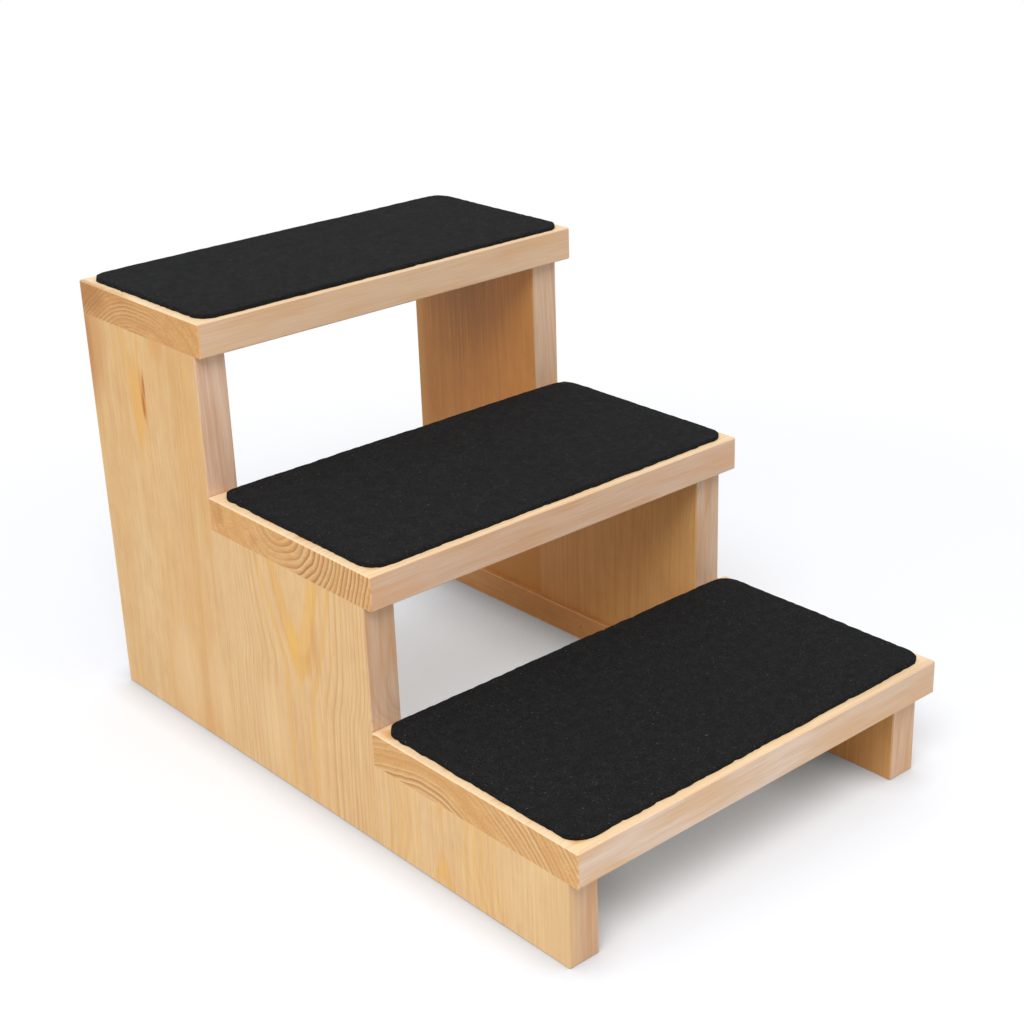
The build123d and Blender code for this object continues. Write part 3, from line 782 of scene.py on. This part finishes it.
def makeFloor(s):
    half = s["floorSize"] / 2
    mesh = bpy.data.meshes.new("floor")
    corners = [(-half, -half, 0), (half, -half, 0), (half, half, 0), (-half, half, 0)]
    mesh.from_pydata(corners, [], [(0, 1, 2, 3)])
    floor = bpy.data.objects.new("floor", mesh)
    bpy.context.scene.collection.objects.link(floor)
    material, tree, output = newMaterial("matPaperSweep")  # matt white paper: no gloss, only soft shade
    shade = addNode(tree, "BsdfDiffuse", {"Color": linear(s["floorColour"])}).outputs[0]
    coords = addNode(tree, "TexCoord").outputs["Object"]
    away = addNode(tree, "VectorMath", {0: coords}, operation="LENGTH").outputs["Value"]
    under = 1.0  # on the shaded floor between the feet, down to 0 outside
    places = addNode(tree, "SeparateXYZ", {0: coords}).outputs
    for axis in (alongX, alongY):
        offset = addNode(tree, "Math", {0: places[axis], 1: s["underCentre"][axis]},
                         operation="SUBTRACT").outputs[0]
        offset = addNode(tree, "Math", {0: offset}, operation="ABSOLUTE").outputs[0]
        limits = (s["underInner"][axis], s["underOuter"][axis])
        inside = addNode(tree, "MapRange", {0: offset, (1, 2): limits, (3, 4): (1.0, 0.0)},
                         interpolation_type="SMOOTHSTEP").outputs[0]
        under = addNode(tree, "Math", {0: under, 1: inside}, operation="MULTIPLY").outputs[0]
    tint = addNode(tree, "Mix", {0: under, 6: linear(s["openTint"]), 7: linear(s["underTint"])},
                   data_type="RGBA")
    paper = addNode(tree, "BsdfDiffuse", {"Color": tint.outputs[2]}).outputs[0]
    # painted light: a white glow for the camera, stronger under the stairs
    lift = addNode(tree, "MapRange", {0: under, 3: s["floorLift"][1], 4: s["floorLift"][0]}).outputs[0]
    lift = addNode(tree, "Emission", {"Color": (1, 1, 1, 1), "Strength": lift}).outputs[0]
    white = addNode(tree, "Emission", {"Color": (1, 1, 1, 1), "Strength": 1.0}).outputs[0]
    both = addNode(tree, "AddShader", {0: paper, 1: lift}).outputs[0]
    # painted shade: a thin dark line where the feet meet the floor, and a deeper shade between them
    for reach, amount, where in ((s["contactReach"], s["contactDark"], None),
                                 (s["deepReach"], s["deepDark"], under)):
        shaded = addNode(tree, "AmbientOcclusion", {"Distance": reach},
                         samples=s["shadeSamples"]).outputs["AO"]
        shaded = addNode(tree, "MapRange", {0: shaded, 1: 1.0, 2: 0.0, 3: 0.0, 4: amount}).outputs[0]
        if where:
            shaded = addNode(tree, "Math", {0: shaded, 1: where}, operation="MULTIPLY").outputs[0]
        both = addNode(tree, "MixShader", {0: shaded, 1: both}).outputs[0]
    far = addNode(tree, "MapRange", {0: away, 1: s["whiteFrom"], 2: s["whiteAt"]},
                  interpolation_type="SMOOTHSTEP").outputs[0]
    both = addNode(tree, "MixShader", {0: far, 1: both, 2: white}).outputs[0]
    seen = addNode(tree, "LightPath").outputs["Is Camera Ray"]
    mixed = addNode(tree, "MixShader", {0: seen, 1: shade, 2: both}).outputs[0]
    tree.links.new(mixed, output.inputs[0])
    mesh.materials.append(material)
    floor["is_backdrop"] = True


def makeSky(s):
    # plain white to the camera and in reflections; on matt surfaces its light grows from the horizon upwards
    world = bpy.data.worlds.new("studio")
    bpy.context.scene.world = world
    world.use_nodes = True
    tree = world.node_tree
    tree.nodes.clear()
    path = addNode(tree, "LightPath").outputs
    white = addNode(tree, "Math", {0: path["Is Camera Ray"], 1: path["Is Glossy Ray"]},
                    operation="MAXIMUM").outputs[0]
    white = addNode(tree, "Math", {0: white, 1: path["Is Transmission Ray"]}, operation="MAXIMUM").outputs[0]
    ray = addNode(tree, "TexCoord").outputs["Generated"]
    ray = addNode(tree, "SeparateXYZ", {0: ray}).outputs["Z"]
    sky = addNode(tree, "MapRange", {0: ray, 1: 0.0, 2: 1.0, 3: s["skyLow"], 4: s["skyHigh"]}).outputs[0]
    strength = addNode(tree, "Mix", {0: white, 2: sky, 3: 1.0}).outputs[0]
    sky = addNode(tree, "Background", {"Color": (1, 1, 1, 1), "Strength": strength}).outputs[0]
    out = tree.nodes.new("ShaderNodeOutputWorld")
    tree.links.new(sky, out.inputs[0])


def makeKey(s):
    light = bpy.data.lights.new("key", "AREA")
    light.shape, light.size, light.energy = "DISK", s["keySize"], s["keyPower"]
    key = bpy.data.objects.new("key", light)
    key.location = s["keyPlace"]
    aim = Vector(s["keyAim"]) - Vector(s["keyPlace"])
    key.rotation_mode = "QUATERNION"
    key.rotation_quaternion = aim.to_track_quat("-Z", "Y")
    bpy.context.scene.collection.objects.link(key)


makeFloor(studio)
makeSky(studio)
makeKey(studio)
bpy.context.scene.view_settings.view_transform = "Standard"
print("studio ready")

low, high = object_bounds()
